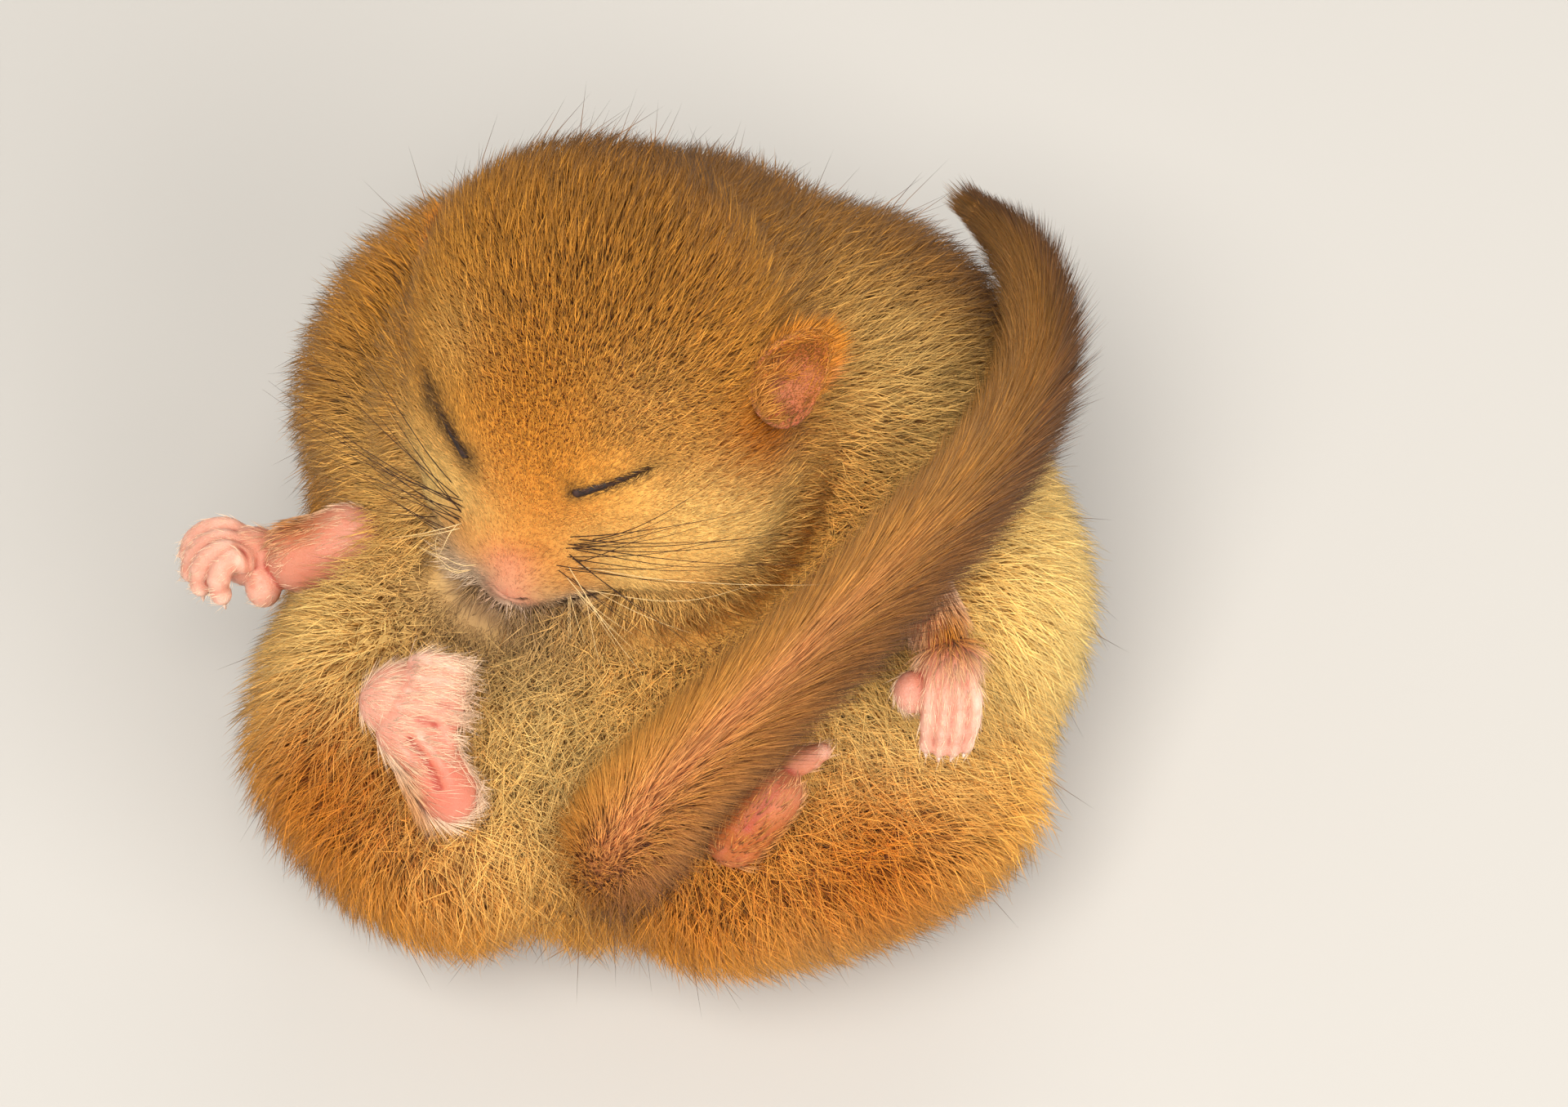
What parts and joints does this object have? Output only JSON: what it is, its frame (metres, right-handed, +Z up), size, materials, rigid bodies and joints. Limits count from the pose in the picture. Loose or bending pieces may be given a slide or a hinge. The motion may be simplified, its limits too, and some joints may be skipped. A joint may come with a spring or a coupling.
{
  "type": "hazel dormouse",
  "caption": "Life-size museum model of a hazel dormouse in winter sleep, curled on its back with the bushy tail laid over its belly and cheek.",
  "frame": {"origin": "middle of the whole model's box, on the floor that it rests on", "axes": "+Z up from the floor; +Y from rump to crown; +X to the animal's left"},
  "size_m": [0.0568, 0.0496, 0.0462],
  "materials": {
    "golden_fur": "soft golden-brown coat with dark tips",
    "pale_fur": "fluffy cream-gold belly coat",
    "tail_fur": "bushy orange-tan tail hair, dark along one edge",
    "bare_skin": "soft pink skin with fine pale hairs",
    "ear_skin": "thin orange-pink ear skin",
    "eyelid": "dark closed lid rim"
  },
  "bodies": {
    "root": {"head": "golden_fur", "eyelids_left": "eyelid", "eyelids_right": "eyelid", "ear_left": "ear_skin", "ear_right": "ear_skin", "neck": "golden_fur", "shoulder_left": "golden_fur", "shoulder_right": "golden_fur", "torso": "pale_fur", "thigh_left": "golden_fur", "thigh_right": "golden_fur", "forearm_left": "bare_skin", "forearm_right": "bare_skin", "hand_left": "bare_skin", "hand_right": "bare_skin", "hind_foot_left": "bare_skin", "hind_foot_right": "bare_skin", "tail_base": "tail_fur", "tail_middle": "tail_fur", "tail_far": "tail_fur", "tail_tip": "tail_fur"}
  },
  "joints": []
}
